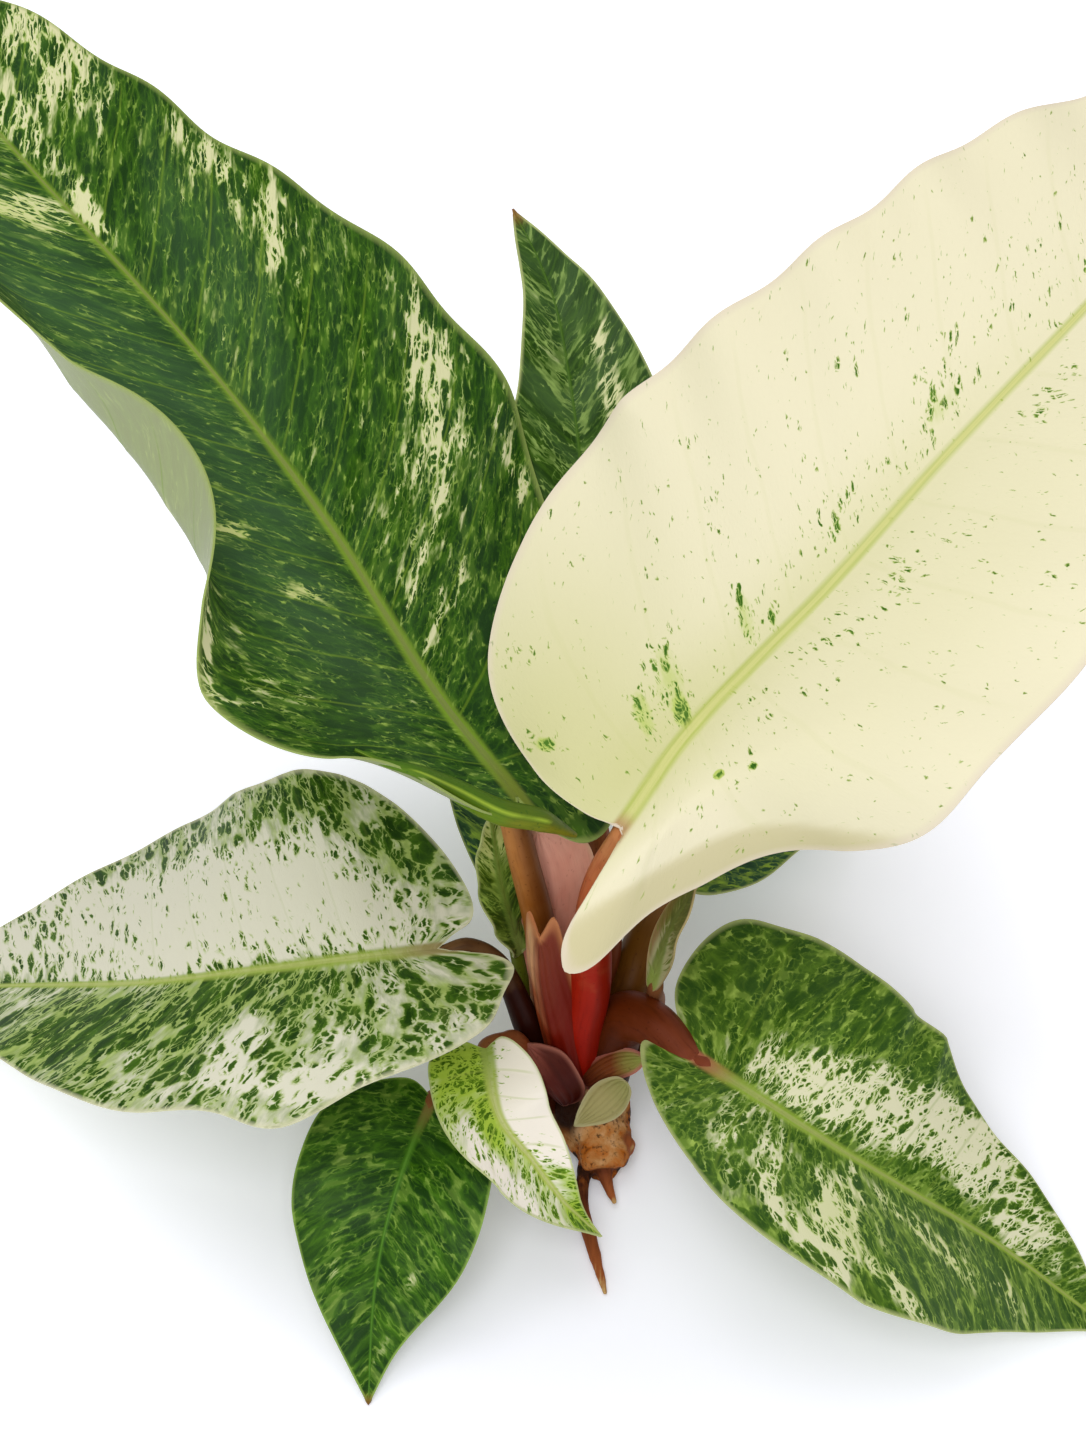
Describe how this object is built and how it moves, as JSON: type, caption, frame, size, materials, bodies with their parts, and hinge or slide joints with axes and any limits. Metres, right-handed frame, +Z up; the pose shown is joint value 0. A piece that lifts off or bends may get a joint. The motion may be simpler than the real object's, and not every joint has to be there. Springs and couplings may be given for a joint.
{
  "type": "bare-rooted variegated anthurium plant",
  "caption": "Bare-rooted foliage plant with broad variegated leaf blades on red and brown stalks, sheaths round its crown and a short lumpy rhizome, resting on a flat foot and its leaf tips.",
  "frame": {"origin": "middle of the rhizome's flat foot, on the surface that the plant rests on", "axes": "+Z up from the surface, +Y to the plant's back, where the two large blades lean, +X to its right"},
  "size_m": [0.3812, 0.2983, 0.2057],
  "materials": {
    "blade_marbled_dark": "waxy leaf, dark green with a cream net",
    "blade_cream": "waxy leaf, ivory with green specks",
    "blade_dark_blotched": "waxy leaf, dark green with pale blotches",
    "blade_half_white": "waxy leaf, white and green net",
    "blade_green": "waxy leaf, mid green with pale streaks",
    "blade_split_white": "waxy leaf, one half green, one white",
    "blade_sectored": "waxy leaf, green with a cream sector",
    "blade_low_dark": "waxy leaf, blue-green",
    "blade_young": "soft young leaf, light green",
    "stalk_red": "smooth red stalk",
    "stalk_brown": "smooth brown-green stalk",
    "sheath_pink": "dusty pink sheath with creases",
    "sheath_orange": "orange-pink sheath, dark red inside",
    "sheath_maroon": "maroon sheath",
    "bract_dry": "dry olive-grey bract",
    "rhizome": "rough tan rhizome and brown roots"
  },
  "bodies": {
    "root": {"leaf_upper_left": "blade_marbled_dark", "leaf_upper_right": "blade_cream", "leaf_back": "blade_dark_blotched", "leaf_left": "blade_half_white", "leaf_front": "blade_green", "leaf_small_front": "blade_split_white", "leaf_right": "blade_sectored", "leaf_low_back_right": "blade_low_dark", "leaf_low_back_left": "blade_low_dark", "leaf_young_left": "blade_young", "leaf_young_right": "blade_young", "stalk_upper_right": "stalk_red", "stalk_right": "stalk_red", "stalk_upper_left": "stalk_brown", "stalk_left": "stalk_brown", "stalk_front": "stalk_brown", "stalk_small_front": "stalk_brown", "stalk_back": "stalk_brown", "stalk_low_back_right": "stalk_brown", "stalk_low_back_left": "stalk_brown", "stalk_young_left": "stalk_brown", "stalk_young_right": "stalk_brown", "sheath_tall_pink": "sheath_pink", "sheath_right": "sheath_pink", "sheath_split_front": "sheath_orange", "sheath_maroon": "sheath_maroon", "bract_dry": "bract_dry", "rhizome_with_roots": "rhizome"}
  },
  "joints": []
}
